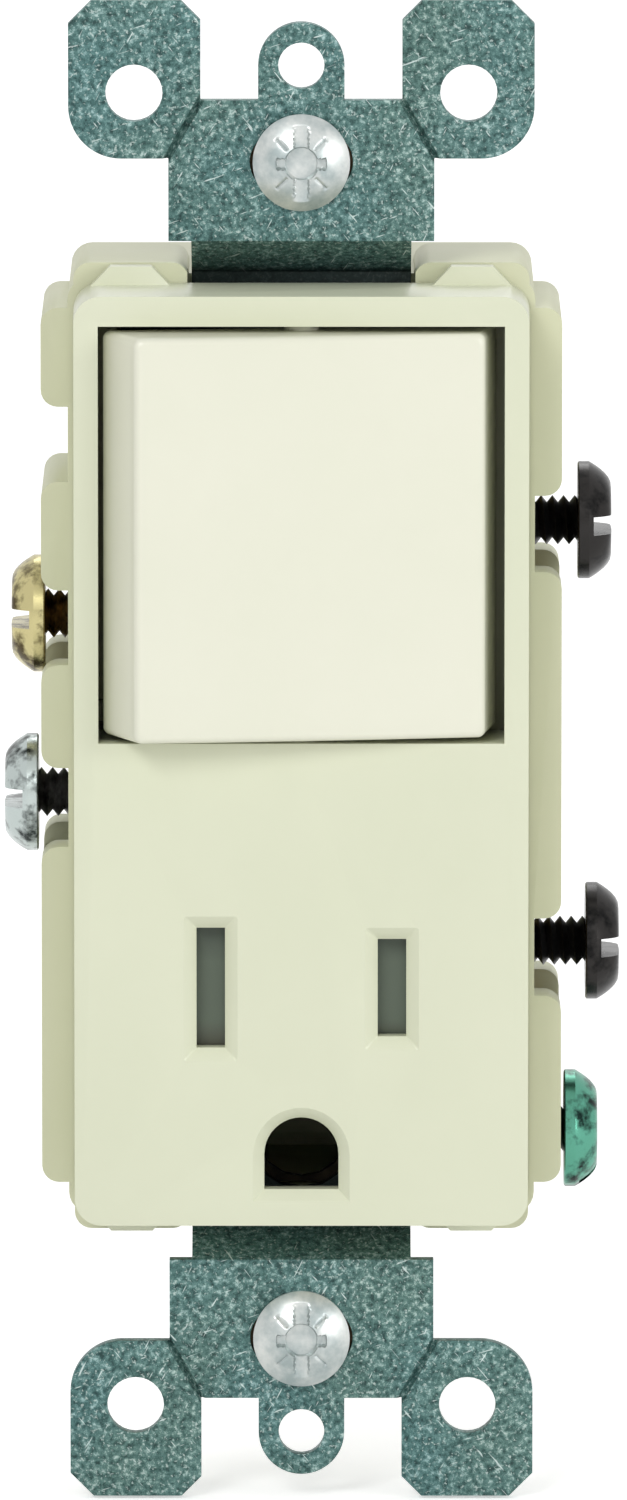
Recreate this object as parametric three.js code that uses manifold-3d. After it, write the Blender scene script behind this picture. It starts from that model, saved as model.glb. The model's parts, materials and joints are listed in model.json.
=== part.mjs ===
// A combination wall device: a single-pole rocker switch above a grounded receptacle with
// shuttered slots, both on one steel mounting strap. Millimetres; +X is to the right, +Z is up
// and the face looks along -Y. The origin is the middle of the strap's rear face, the plane
// that lies against the wall box.
import * as THREE from "three";
import { mergeVertices } from "three/addons/utils/BufferGeometryUtils.js";
import Module from "manifold-3d";

const wasm = await Module();
wasm.setup();

// ---- Driving dimensions ------------------------------------------------------------------

// Gaps: between pieces that meet, and between pieces that slide or turn on each other.
const fit = 0.3;
const rivetFit = 0.1;

// Mounting strap.
const strapEndReach = 20.2;        // strap beyond each end of the cover
const strapWidth = 32.6;
const strapThickness = 1.2;
const strapSetback = 3.0;          // how far the middle of the strap lies behind the ears
const strapMiddleWidth = 25.4;
const earDepth = 11.1;             // from the strap's end to the lower edge of the ears
const earNotchDepth = 7.0;         // notches beside the centre tab
const earInnerX = 7.06;
const earHoleX = 11.7;
const earHoleInset = 6.5;          // from the strap's end, as the next insets are
const earHoleRadius = 2.0;
const earOuterChamfer = 1.65;
const earInnerChamfer = 1.4;
const earLowerRadius = 3.7;
const tabHalfWidth = 3.02;
const plateHoleInset = 4.58;       // hole for the wall plate's own screw
const plateHoleRadius = 1.62;
const shoulderWidth = 18.6;
const neckStart = 3.3;             // beyond the cover's end, where the strap starts to bend back
const neckWidth = 15.4;
const neckDrop = 2.6;              // height over which the neck bends back
const neckRoot = 0.9;              // overlap of the neck and the strap's middle
const scoreWidth = 0.8;            // groove that lets an ear be broken off
const scoreDepth = 0.4;
const mountSlotInset = 11.33;
const mountSlotLength = 7.2;
const mountSlotHeight = 4.1;
const switchWindow = { x: 9.4, below: 12.0, above: 12.5 };
const slotWindow = { x: 10.6, low: -22.6, high: -9.2 };
const rivetRadius = 0.8;
const groundRivetX = [-7.0, 7.0];
const centreScrewZ = -4.6;         // the one long screw that draws body, strap and cover together
const centreScrewRadius = 1.4;

// Front cover.
const coverWidth = 31.8;
const coverHeight = 65.6;
const coverProud = 6.5;            // face above the mounting plane
const coverDraft = 0.1;            // each side grows this much from face to rear edge
const coverCornerRadius = 1.9;
const coverWall = 1.6;
const coverFaceThickness = 1.9;
const latchTabThickness = 1.4;
const coverWebZ = -1.2;            // lower side of the web below the rocker

// Rocker and its opening.
const openingWidth = 28.4;
const openingTopRail = 2.1;        // cover left above the opening
const openingBottomZ = 1.35;
const rockerTilt = 8.0;            // degrees each way from level
const rockerGap = 0.45;            // end gap, top and bottom
const rockerSideGap = 0.34;        // each side of the rocker's base
const rockerSideSlope = 1.46;      // each side narrows this much from base to top
const rockerHeight = 5.7;
const rockerCrown = 0.25;
const rockerWall = 1.5;
const rockerPivotDepth = 2.6;      // pivot behind the cover's face
const rockerPivotToFace = 4.9;
const rockerPinRadius = 1.2;
const rockerPinLength = 1.45;
const postRadius = 2.7;
const postLength = 7.0;            // behind the pivot
const plungerRadius = 1.5;
const plungerReach = 12.6;         // tip from the pivot
const plungerLength = 8.4;
const springWire = 0.45;

// Receptacle.
const slotX = 6.35;
const slotZ = -16.0;
const neutralSlotHeight = 8.5;
const hotSlotHeight = 6.9;
const slotWidth = 2.0;
const slotSurround = 0.9;
const groundZ = -27.8;             // centre of the round top of the ground hole
const groundRadius = 2.6;
const groundFlatDrop = 2.5;        // flat sill below that centre
const groundPassRadius = 3.9;      // hole in the strap behind the cover
const groundFlangeRadius = 3.3;    // hole in the ground contact's flange
const bladeThickness = 1.5;
const leafThickness = 0.7;
const groundPinRadius = 2.4;
const shutterTravel = 2.6;
const shutterThickness = 1.1;
const contactFrontY = 7.0;         // front edges of the blade contacts
const contactBackY = 17.0;         // rear face of the blade contacts

// Rear body.
const bodyFrontY = 1.5;            // front rim behind the mounting plane
const bodySideStep = 0.5;          // body beyond each side of the cover
const bodyEndStep = 0.4;           // body beyond each end of the cover
const bodyDepth = 22.5;
const bodyWall = 1.5;
const lobeProud = 1.9;             // side lobes beyond the body's side
const lobeDepth = 16.5;
const lobeRadius = 1.2;
const endLobeProud = 1.5;          // end lobes beyond the cover's end
const endLobeInnerX = 7.9;
const endLobeSideStep = 0.4;       // end lobes inside the body's side
const latchTabInset = 1.25;        // tabs inside each side of an end lobe
const latchTabTaper = 1.35;        // each side of a tab narrows this much to its tip
const ledgeThickness = 1.9;        // ledges in front of the terminal plates
const endLobeDepth = 12.0;

// Terminal screws and plates.
const terminalDepth = 9.5;         // screw axes behind the mounting plane
const terminalPlateThickness = 1.2;
const terminalPlateLength = 10.3;
const terminalPlateFrontY = 4.6;
const terminalPlateBackY = 14.4;
const screwHeadRadius = 4.15;
const screwHeadHeight = 2.4;
const screwThreadRadius = 1.75;
const screwPitch = 0.79;
const screwShank = 6.3;
const terminals = [
  { name: "terminal_screw_brass", side: -1, z: 8.45, backedOut: 3.5, color: 0xc79a4b },
  { name: "terminal_screw_silver", side: -1, z: -4.3, backedOut: 4.0, color: 0xc9c9c4 },
  { name: "terminal_screw_black_upper", side: 1, z: 15.1, backedOut: 4.9, color: 0x2a2826 },
  { name: "terminal_screw_black_lower", side: 1, z: -14.95, backedOut: 5.5, color: 0x2a2826 },
  { name: "terminal_screw_ground", side: 1, z: -28.4, backedOut: 4.0, color: 0x4f9a57 },
];
const [brassTerminal, silverTerminal, upperBlack, lowerBlack, groundTerminal] = terminals;
const leftLobes = [[31.1, 24.1], [18.8, 11.1], [5.8, -1.5], [-7.1, -31.0]];
const rightLobes = [[31.1, 17.8], [12.4, -12.2], [-17.7, -31.0]];

// Switch contacts.
const seesawPivotY = 10.2;
const seesawHalfLength = 6.6;
const seesawWidth = 6.0;
const seesawThickness = 0.8;
const seesawFaceRise = 1.2;        // front face ahead of the pivot
const seesawPinRadius = 0.5;
const buttonX = 5.0;
const buttonRadius = 1.4;
const buttonHeight = 0.8;
const buttonTail = 0.3;            // upset end of the rivet behind its strip

// Strap screws.
const strapScrewHeadRadius = 3.4;
const strapScrewHeadHeight = 1.7;
const strapScrewLength = 22.0;
const washerRadius = 4.4;
const washerThickness = 0.8;

// ---- Stations worked out from them ----------------------------------------------------------

const rad = THREE.MathUtils.degToRad;
const coverEndZ = coverHeight / 2;
const strapTopZ = coverEndZ + strapEndReach;
const earShoulderZ = strapTopZ - earDepth;
const earNotchZ = strapTopZ - earNotchDepth;
const earHoleZ = strapTopZ - earHoleInset;
const plateHoleZ = strapTopZ - plateHoleInset;
const mountSlotZ = strapTopZ - mountSlotInset;
const shoulderEndZ = coverEndZ + neckStart;
const openingTopZ = coverEndZ - openingTopRail;
const switchZ = (openingTopZ + openingBottomZ) / 2;
const rockerBaseWidth = openingWidth - 2 * rockerSideGap;
const rockerTopWidth = rockerBaseWidth - 2 * rockerSideSlope;
const bodyWidth = coverWidth + 2 * bodySideStep;
const bodyHeight = coverHeight + 2 * bodyEndStep;
const lobeWidth = bodyWidth + 2 * lobeProud;
const endLobeZ = coverEndZ + endLobeProud;
const endLobeOuterX = bodyWidth / 2 - endLobeSideStep;
const coverFaceY = -coverProud;
const strapMidFrontY = strapSetback;
const strapMidBackY = strapSetback + strapThickness;
const coverInnerY = coverFaceY + coverFaceThickness;
const coverBackY = bodyFrontY - fit;
const bodyBackY = bodyFrontY + bodyDepth;
const bodyFloorY = bodyBackY - bodyWall;
const cavityX = bodyWidth / 2 - bodyWall;
const cavityZ = bodyHeight / 2 - bodyWall;
const pivotY = coverFaceY + rockerPivotDepth;
const plateOuterX = cavityX - fit;
const plateInnerX = plateOuterX - terminalPlateThickness;
const strapMiddleZ = cavityZ - fit;
const recessFrontY = terminalDepth - screwHeadRadius - fit;
const recessBackY = terminalDepth + screwHeadRadius + fit;

// ---- Ways of making solids ------------------------------------------------------------------

// The basis that stands a drawn shape up: its own axes become the three given ones.
const basisXZ = new THREE.Matrix4().makeRotationX(Math.PI / 2);
const basisYZ = new THREE.Matrix4().makeBasis(
  new THREE.Vector3(0, 1, 0), new THREE.Vector3(0, 0, 1), new THREE.Vector3(1, 0, 0));

// Merges a geometry's corners and makes it a solid, with its faces turned outwards.
function solid(geometry) {
  const bare = geometry.clone();
  bare.deleteAttribute("normal");
  bare.deleteAttribute("uv");
  const merged = mergeVertices(bare, 1e-5);
  const at = (i) => new THREE.Vector3().fromBufferAttribute(merged.attributes.position, i);
  const triVerts = new Uint32Array(merged.index.array);
  let volume = 0;
  for (let i = 0; i < triVerts.length; i += 3) {
    volume += at(triVerts[i]).dot(at(triVerts[i + 1]).cross(at(triVerts[i + 2])));
  }
  if (volume < 0) triVerts.reverse();
  const vertProperties = new Float32Array(merged.attributes.position.array);
  return new wasm.Manifold(new wasm.Mesh({ numProp: 3, vertProperties, triVerts }));
}

function join(first, ...others) {
  return others.reduce((sum, other) => sum.add(other), first);
}

function cut(first, ...others) {
  return others.reduce((rest, other) => rest.subtract(other), first);
}

// A shape drawn in X and Z, from one depth to another.
function plate(shape, yFront, yBack, curveSegments = 6) {
  const options = { depth: yBack - yFront, bevelEnabled: false, curveSegments };
  return solid(new THREE.ExtrudeGeometry(shape, options).applyMatrix4(basisXZ).translate(0, yBack, 0));
}

// A shape drawn in Y and Z, from one x to another.
function crossPrism(shape, xLow, xHigh, curveSegments = 6) {
  const options = { depth: xHigh - xLow, bevelEnabled: false, curveSegments };
  return solid(new THREE.ExtrudeGeometry(shape, options).applyMatrix4(basisYZ).translate(xLow, 0, 0));
}

// A shape drawn in X and Y, from one height to another.
function uprightPrism(shape, zLow, zHigh, curveSegments = 6) {
  const options = { depth: zHigh - zLow, bevelEnabled: false, curveSegments };
  return solid(new THREE.ExtrudeGeometry(shape, options).translate(0, 0, zLow));
}

function block([x0, x1], [y0, y1], [z0, z1]) {
  const geometry = new THREE.BoxGeometry(Math.abs(x1 - x0), Math.abs(y1 - y0), Math.abs(z1 - z0));
  return solid(geometry.translate((x0 + x1) / 2, (y0 + y1) / 2, (z0 + z1) / 2));
}

// A profile of [radius, distance] pairs turned about an axis through a point.
function turned(profile, axis, [x, y, z], segments = 16) {
  const geometry = new THREE.LatheGeometry(profile.map(([r, d]) => new THREE.Vector2(r, d)), segments);
  if (axis === "x") geometry.rotateZ(-Math.PI / 2);
  if (axis === "z") geometry.rotateX(Math.PI / 2);
  return solid(geometry.translate(x, y, z));
}

function rod(radius, axis, [x, y, z], from, to, segments = 16) {
  return turned([[0, from], [radius, from], [radius, to], [0, to]], axis, [x, y, z], segments);
}

function polygon(points) {
  return new THREE.Shape(points.map(([a, b]) => new THREE.Vector2(a, b)));
}

function roundedRect(width, height, radius, [cx, cz] = [0, 0]) {
  const [a, b, r] = [width / 2 - radius, height / 2 - radius, radius];
  const shape = new THREE.Shape();
  shape.absarc(cx + a, cz + b, r, 0, Math.PI / 2);
  shape.absarc(cx - a, cz + b, r, Math.PI / 2, Math.PI);
  shape.absarc(cx - a, cz - b, r, Math.PI, 1.5 * Math.PI);
  shape.absarc(cx + a, cz - b, r, 1.5 * Math.PI, 2 * Math.PI);
  return shape;
}

// A closed skin through rings of points, all with the same count, each end closed by a fan.
function loft(rings) {
  const count = rings[0].length;
  const mean = (ring) => [0, 1, 2].map((k) => ring.reduce((sum, p) => sum + p[k], 0) / count);
  const points = [...rings.flat(), mean(rings[0]), mean(rings[rings.length - 1])];
  const index = [];
  for (let j = 0; j + 1 < rings.length; j++) {
    for (let i = 0; i < count; i++) {
      const [a, b] = [j * count + i, j * count + (i + 1) % count];
      index.push(a, b, b + count, a, b + count, a + count);
    }
  }
  const lastRing = (rings.length - 1) * count;
  for (let i = 0; i < count; i++) {
    const next = (i + 1) % count;
    index.push(points.length - 2, next, i, points.length - 1, lastRing + i, lastRing + next);
  }
  const geometry = new THREE.BufferGeometry();
  geometry.setAttribute("position", new THREE.Float32BufferAttribute(points.flat(), 3));
  geometry.setIndex(index);
  return solid(geometry);
}

// A rounded rectangle in X and Z that changes size between two depths.
function taperedBlock(front, back, yFront, yBack, [cx, cz] = [0, 0]) {
  const ring = ([width, height, radius], y) =>
    roundedRect(width, height, radius, [cx, cz]).getPoints(5).slice(0, -1).map((p) => [p.x, y, p.y]);
  return loft([ring(front, yFront), ring(back, yBack)]);
}

// Turns and moves a solid: degrees about +Z, then a shift.
function turnZ(body, degrees, [x, y, z]) {
  return body.rotate([0, 0, degrees]).translate([x, y, z]);
}

// ---- The scene ------------------------------------------------------------------------------

const device = new THREE.Group();

function add(name, body, color, roughness, metalness = 0) {
  const { vertProperties, triVerts, numProp } = body.getMesh();
  const positions = [];
  for (let i = 0; i < vertProperties.length; i += numProp) {
    positions.push(vertProperties[i], vertProperties[i + 1], vertProperties[i + 2]);
  }
  const geometry = new THREE.BufferGeometry();
  geometry.setAttribute("position", new THREE.Float32BufferAttribute(positions, 3));
  geometry.setIndex([...triVerts]);
  geometry.computeVertexNormals();
  const mesh = new THREE.Mesh(geometry, new THREE.MeshStandardMaterial({ color, roughness, metalness }));
  mesh.name = name;
  device.add(mesh);
}

// ---- Mounting strap -------------------------------------------------------------------------

function circlePath(x, z, radius) {
  const path = new THREE.Path();
  path.absarc(x, z, radius, 0, 2 * Math.PI);
  return path;
}

function stadiumPath(x, z, length, height) {
  const [reach, r] = [(length - height) / 2, height / 2];
  const path = new THREE.Path();
  path.absarc(x + reach, z, r, -Math.PI / 2, Math.PI / 2);
  path.absarc(x - reach, z, r, Math.PI / 2, 1.5 * Math.PI);
  return path;
}

// A V groove in the strap's front, along a line between two points in X and Z.
function scoreGroove([x0, z0], [x1, z1]) {
  const [dx, dz] = [x1 - x0, z1 - z0];
  const length = Math.hypot(dx, dz);
  const [nx, nz] = [(-dz / length) * scoreWidth / 2, (dx / length) * scoreWidth / 2];
  const front = -strapThickness - 0.2;
  const section = ([x, z]) => [[x - nx, front, z - nz], [x, -strapThickness + scoreDepth, z],
    [x + nx, front, z + nz]];
  const over = 0.3 / length;
  const start = [x0 - dx * over, z0 - dz * over];
  const end = [x1 + dx * over, z1 + dz * over];
  return loft([section(start), section(end)]);
}

// One end of the strap, the upper one: ears, centre tab, shoulder, and the neck that bends back.
function strapEnd() {
  const [earX, top] = [strapWidth / 2, strapTopZ];
  const foot = shoulderWidth / 2;
  const shape = new THREE.Shape();
  shape.moveTo(foot, shoulderEndZ);
  shape.lineTo(foot, earShoulderZ);
  shape.absarc(earX - earLowerRadius, earShoulderZ + earLowerRadius, earLowerRadius, -Math.PI / 2, 0);
  const right = [[earX, top - earOuterChamfer], [earX - earOuterChamfer, top],
    [earInnerX + earInnerChamfer, top], [earInnerX, top - earInnerChamfer], [earInnerX, earNotchZ],
    [tabHalfWidth, earNotchZ]];
  right.forEach(([x, z]) => shape.lineTo(x, z));
  shape.absarc(0, plateHoleZ, tabHalfWidth, 0, Math.PI);
  right.reverse().forEach(([x, z]) => shape.lineTo(-x, z));
  const earCornerX = earX - earLowerRadius;
  shape.absarc(-earCornerX, earShoulderZ + earLowerRadius, earLowerRadius, Math.PI, 1.5 * Math.PI);
  shape.lineTo(-foot, earShoulderZ);
  shape.lineTo(-foot, shoulderEndZ);
  [-earHoleX, earHoleX].forEach((x) => shape.holes.push(circlePath(x, earHoleZ, earHoleRadius)));
  shape.holes.push(circlePath(0, plateHoleZ, plateHoleRadius));
  shape.holes.push(stadiumPath(0, mountSlotZ, mountSlotLength, mountSlotHeight));
  const bendEndZ = shoulderEndZ - neckDrop;
  const rootZ = strapMiddleZ - neckRoot;
  const neck = polygon([
    [-strapThickness, shoulderEndZ + 0.5], [-strapThickness, shoulderEndZ], [strapMidFrontY, bendEndZ],
    [strapMidFrontY, rootZ], [strapMidBackY, rootZ], [strapMidBackY, bendEndZ + 0.4],
    [0, shoulderEndZ + 0.4], [0, shoulderEndZ + 0.5],
  ]);
  const grooves = [1, -1].map((side) =>
    scoreGroove([side * earInnerX, earNotchZ], [side * (foot + 0.1), earShoulderZ]));
  return cut(join(plate(shape, -strapThickness, 0, 14), crossPrism(neck, -neckWidth / 2, neckWidth / 2)),
    ...grooves);
}

function mountingStrap() {
  const end = strapEnd();
  const middle = block([-strapMiddleWidth / 2, strapMiddleWidth / 2], [strapMidFrontY, strapMidBackY],
    [-strapMiddleZ, strapMiddleZ]);
  const through = [strapMidFrontY - 1, strapMidBackY + 1];
  return cut(join(middle, end, end.mirror([0, 0, 1])),
    block([-switchWindow.x, switchWindow.x], through,
      [switchZ - switchWindow.below, switchZ + switchWindow.above]),
    block([-slotWindow.x, slotWindow.x], through, [slotWindow.low, slotWindow.high]),
    rod(groundPassRadius, "y", [0, 0, groundZ], ...through),
    rod(centreScrewRadius + fit, "y", [0, 0, centreScrewZ], ...through),
    ...groundRivetX.map((x) => rod(rivetRadius + rivetFit, "y", [x, 0, groundZ], ...through, 10)));
}

add("mounting_strap", mountingStrap(), 0x8f9690, 0.45, 0.8);

// ---- Front cover ----------------------------------------------------------------------------

// The D-shaped outline of the ground hole, grown all round.
function groundOutline(grow, y) {
  const shape = new THREE.Shape();
  shape.absarc(0, groundZ, groundRadius + grow, 0, Math.PI);
  shape.lineTo(-groundRadius - grow, groundZ - groundFlatDrop - grow);
  shape.lineTo(groundRadius + grow, groundZ - groundFlatDrop - grow);
  return shape.getPoints(10).map((p) => [p.x, y, p.y]);
}

// A through opening with a sloped surround pressed into the face.
function slotCut(x, height, width) {
  const halfHeight = height / 2;
  return join(
    block([x - width / 2, x + width / 2], [coverFaceY - 1, coverInnerY + 1],
      [slotZ - halfHeight, slotZ + halfHeight]),
    taperedBlock([width + 2 * slotSurround, height + 2 * slotSurround, 0.2], [width, height, 0.1],
      coverFaceY - 0.01, coverFaceY + 0.7, [x, slotZ]));
}

// A flat tab on the cover's end that lies over the body's end lobe and snaps behind it.
function latchTab(side, end) {
  const [inner, outer] = [endLobeInnerX + latchTabInset, endLobeOuterX - latchTabInset];
  const [tipInner, tipOuter] = [inner + latchTabTaper, outer - latchTabTaper];
  const tipZ = endLobeZ - 0.1;
  const outline = polygon([[inner, coverEndZ - 1], [outer, coverEndZ - 1], [outer, coverEndZ],
    [tipOuter, tipZ], [tipInner, tipZ], [inner, coverEndZ]]);
  return plate(outline, coverBackY - latchTabThickness, coverBackY).scale([side, 1, end]);
}

function frontCover() {
  const [w, h, r] = [coverWidth, coverHeight, coverCornerRadius];
  const shell = cut(
    taperedBlock([w, h, r], [w + 2 * coverDraft, h + 2 * coverDraft, r], coverFaceY, coverBackY),
    taperedBlock([w - 2 * coverWall, h - 2 * coverWall, r - 1], [w - 2 * coverWall, h - 2 * coverWall, r - 1],
      coverInnerY, coverBackY + 1));
  const inX = w / 2 - coverWall + 0.2;
  const webs = [[coverWebZ, openingBottomZ], [openingTopZ, h / 2 - 0.5]].map(([low, high]) =>
    block([-inX, inX], [coverInnerY - 0.5, coverBackY - 0.5], [low, high]));
  const screwBoss = rod(centreScrewRadius + 1.6, "y", [0, 0, centreScrewZ],
    coverInnerY - 0.5, coverBackY - 0.6);
  const opening = block([-openingWidth / 2, openingWidth / 2], [coverFaceY - 1, coverBackY + 1],
    [openingBottomZ, openingTopZ]);
  const pinHole = rockerPinRadius + fit;
  const pinZ = [openingBottomZ - rockerPinLength - fit, openingTopZ + rockerPinLength + fit];
  const pinSlot = join(rod(pinHole, "z", [0, pivotY, 0], ...pinZ),
    block([-pinHole, pinHole], [pivotY, coverBackY + 1], pinZ));
  const ground = loft([groundOutline(slotSurround - 0.1, coverFaceY - 0.01),
    groundOutline(0, coverFaceY + 0.7), groundOutline(0, coverInnerY + 1)]);
  const tabs = [1, -1].flatMap((side) => [1, -1].map((end) => latchTab(side, end)));
  return cut(join(shell, ...webs, screwBoss, ...tabs), opening, pinSlot, ground,
    slotCut(-slotX, neutralSlotHeight, slotWidth), slotCut(slotX, hotSlotHeight, slotWidth),
    rod(centreScrewRadius + fit, "y", [0, 0, centreScrewZ], coverInnerY + 0.2, coverBackY + 1));
}

add("front_cover", frontCover(), 0xe2e6cc, 0.35);

// ---- Rocker, with its spring and plunger ----------------------------------------------------

// The rocker's own frame has the pivot at its origin; at rest it is turned so that the left
// side stands out. Everything in its post turns with it.
function withRocker(body) {
  return turnZ(body, rockerTilt, [0, pivotY, 0]);
}

const rockerLow = openingBottomZ + rockerGap;
const rockerHigh = openingTopZ - rockerGap;
const boreFloor = -rockerPivotToFace + rockerWall;

// The section across the rocker: sloped ends and a slightly crowned top.
function rockerSection(inset) {
  const [topY, baseY] = [-rockerPivotToFace + inset, -rockerPivotToFace + rockerHeight];
  const [top, base] = [rockerTopWidth / 2 - inset, rockerBaseWidth / 2 - inset];
  const baseEnd = inset ? baseY + 1 : baseY;
  const crown = [-1, -0.6, -0.2, 0.2, 0.6, 1].map((t) => [-t * top, topY + rockerCrown * t * t]);
  return polygon([[-base, baseEnd], [base, baseEnd], ...crown]);
}

function rocker() {
  const shell = cut(uprightPrism(rockerSection(0), rockerLow, rockerHigh),
    uprightPrism(rockerSection(rockerWall), rockerLow + rockerWall, rockerHigh - rockerWall));
  const webX = rockerPinRadius + 0.6;
  const cheeks = [[rockerLow, rockerLow + rockerWall], [rockerHigh - rockerWall, rockerHigh]].map(
    (z) => block([-webX, webX], [boreFloor - 0.5, rockerPinRadius], z));
  const pins = [[rockerLow - rockerPinLength, rockerLow + 1], [rockerHigh - 1, rockerHigh + rockerPinLength]];
  return join(shell, ...cheeks, ...pins.map((z) => rod(rockerPinRadius, "z", [0, 0, 0], ...z)),
    rod(postRadius, "y", [0, 0, switchZ], boreFloor - 0.5, postLength))
    .subtract(rod(plungerRadius + fit, "y", [0, 0, switchZ], boreFloor, postLength + 1));
}

// A coil along Y, as a five-sided wire on a helix.
function coilSpring(radius, wire, turns, yFrom, yTo) {
  const [steps, sides] = [turns * 8, 5];
  const rings = Array.from({ length: steps + 1 }, (_, i) => {
    const angle = (2 * Math.PI * turns * i) / steps;
    const y = yFrom + wire / 2 + ((yTo - yFrom - wire) * i) / steps;
    return Array.from({ length: sides }, (_, k) => {
      const turn = (2 * Math.PI * k) / sides;
      const r = radius + (wire / 2) * Math.cos(turn);
      return [r * Math.cos(angle), y + (wire / 2) * Math.sin(turn), r * Math.sin(angle)];
    });
  });
  return loft(rings);
}

function plunger() {
  const tipCentre = plungerReach - plungerRadius;
  const dome = Array.from({ length: 5 }, (_, i) => {
    const angle = rad(90 * (1 - i / 4));
    return [plungerRadius * Math.sin(angle), tipCentre + plungerRadius * Math.cos(angle)];
  });
  return turned([[0, plungerReach - plungerLength], [plungerRadius, plungerReach - plungerLength],
    ...dome.slice(0, -1), [0, plungerReach]], "y", [0, 0, switchZ], 12);
}

add("rocker", withRocker(rocker()), 0xefebdc, 0.25);
add("rocker_spring", withRocker(coilSpring(plungerRadius - springWire / 2 - 0.1, springWire, 5,
  boreFloor + rivetFit, plungerReach - plungerLength - fit).translate([0, 0, switchZ])), 0xb9bbb8, 0.3, 0.9);
add("rocker_plunger", withRocker(plunger()), 0xe8e6dc, 0.4);

// ---- Seesaw contact and its cradle ----------------------------------------------------------

// At rest the seesaw leans the other way from the rocker, with its left end pushed back on
// the fixed contact.
function withSeesaw(body) {
  return turnZ(body, -rockerTilt, [0, seesawPivotY, 0]);
}

const seesawZ = [switchZ - seesawWidth / 2, switchZ + seesawWidth / 2];
const seesawBackY = -seesawFaceRise + seesawThickness;
const cradleCheek = 1.0;
const cradleZ = [seesawZ[0] - 0.4 - cradleCheek, seesawZ[1] + 0.4 + cradleCheek];
const cradleX = 2.5;
const cradleBackY = 15.5;
const flangeFrontY = terminalDepth + screwThreadRadius + 0.45;
const flangeX = plateInnerX - fit;

function seesaw() {
  const lever = block([-seesawHalfLength, seesawHalfLength], [-seesawFaceRise, seesawBackY], seesawZ);
  const pin = rod(seesawPinRadius, "z", [0, 0, 0], cradleZ[0] - fit, cradleZ[1] + fit, 12);
  const rivetHole = rod(0.6 + rivetFit, "y", [-buttonX, 0, switchZ], -3, 1, 12);
  return cut(join(lever, pin), rivetHole);
}

// A contact button riveted through a strip: head on one side, upset end on the other.
function contactButton(stripFront, stripBack, headAtBack) {
  const [before, behind] = [stripFront - rivetFit, stripBack + rivetFit];
  const [head, tail] = headAtBack
    ? [[behind, behind + buttonHeight], [before - buttonTail, before]]
    : [[before - buttonHeight, before], [behind, behind + buttonTail]];
  const span = [Math.min(head[0], tail[0]), Math.max(head[1], tail[1])];
  return join(rod(buttonRadius, "y", [0, 0, 0], ...head), rod(1.0, "y", [0, 0, 0], ...tail, 12),
    rod(0.6, "y", [0, 0, 0], span[0] + 0.05, span[1] - 0.05, 12));
}

function seesawCradle() {
  const [low, high] = cradleZ;
  const front = seesawPivotY - seesawPinRadius - fit;
  const baseY = [cradleBackY - 0.8, cradleBackY];
  const cheeks = [[low, low + cradleCheek], [high - cradleCheek, high]].map((z) => cut(
    block([-cradleX, cradleX], [front, cradleBackY], z),
    rod(seesawPinRadius + fit, "z", [0, seesawPivotY, 0], low - 1, high + 1, 12),
    block([-seesawPinRadius - fit, seesawPinRadius + fit], [front - 1, seesawPivotY], [low - 1, high + 1])));
  return join(...cheeks, block([-cradleX, cradleX], baseY, [low, high]),
    block([0, flangeX], baseY, seesawZ),
    block([flangeX - 0.7, flangeX], [flangeFrontY, cradleBackY], seesawZ));
}

add("seesaw_contact", withSeesaw(seesaw()), 0xc07a45, 0.3, 0.9);
add("moving_contact_button",
  withSeesaw(contactButton(-seesawFaceRise, seesawBackY, true).translate([-buttonX, 0, switchZ])),
  0xcfcfcc, 0.25, 0.95);
add("seesaw_cradle", seesawCradle(), 0xc9a457, 0.3, 0.9);

// ---- Terminal plates and fixed contacts -----------------------------------------------------

const plateY = [terminalPlateFrontY, terminalPlateBackY];
const around = (terminal) => [terminal.z - terminalPlateLength / 2, terminal.z + terminalPlateLength / 2];

// A tapped plate behind a terminal screw, on the screw's side.
function terminalPlate(side, [low, high], screws) {
  const holes = screws.map((screw) =>
    rod(screwThreadRadius + fit, "x", [0, terminalDepth, screw.z], -20, 20, 12));
  return cut(block([side * plateInnerX, side * plateOuterX], plateY, [low, high]), ...holes);
}

// Where the closed seesaw leaves the face of its contact button.
const buttonFaceY = seesawBackY + rivetFit + buttonHeight;
const restTilt = rad(rockerTilt);
const closedFaceY = seesawPivotY + buttonX * Math.sin(restTilt) + buttonFaceY * Math.cos(restTilt);
const fixedButtonY = closedFaceY + buttonRadius * Math.sin(restTilt) + fit;
const fixedStripY = [fixedButtonY + buttonHeight + rivetFit, fixedButtonY + buttonHeight + rivetFit + 0.8];
const fixedButtonX = -buttonX * Math.cos(restTilt) + buttonFaceY * Math.sin(restTilt);
const fixedStripZ = [around(brassTerminal)[0] + 6.4, seesawZ[1]];

function switchedTerminal() {
  const strip = block([-plateInnerX - 0.2, fixedButtonX + buttonRadius], fixedStripY, fixedStripZ);
  const rivetHole = rod(0.6 + rivetFit, "y", [fixedButtonX, 0, switchZ], 0, 20, 12);
  return cut(join(terminalPlate(-1, around(brassTerminal), [brassTerminal]), strip), rivetHole);
}

function feedPlate() {
  const [low, high] = [around(lowerBlack), around(upperBlack)];
  const x = [plateInnerX, plateOuterX];
  const linkY = [terminalDepth - 2.4, terminalDepth + 2.4];
  return join(terminalPlate(1, low, [lowerBlack]), terminalPlate(1, high, [upperBlack]),
    block(x, linkY, [low[1] - 0.5, -1.0]), block(x, linkY, [1.0, high[0] + 0.5]),
    block(x, [terminalDepth - 1.0, terminalDepth + 1.0], [-1.2, 1.2]));
}

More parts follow.
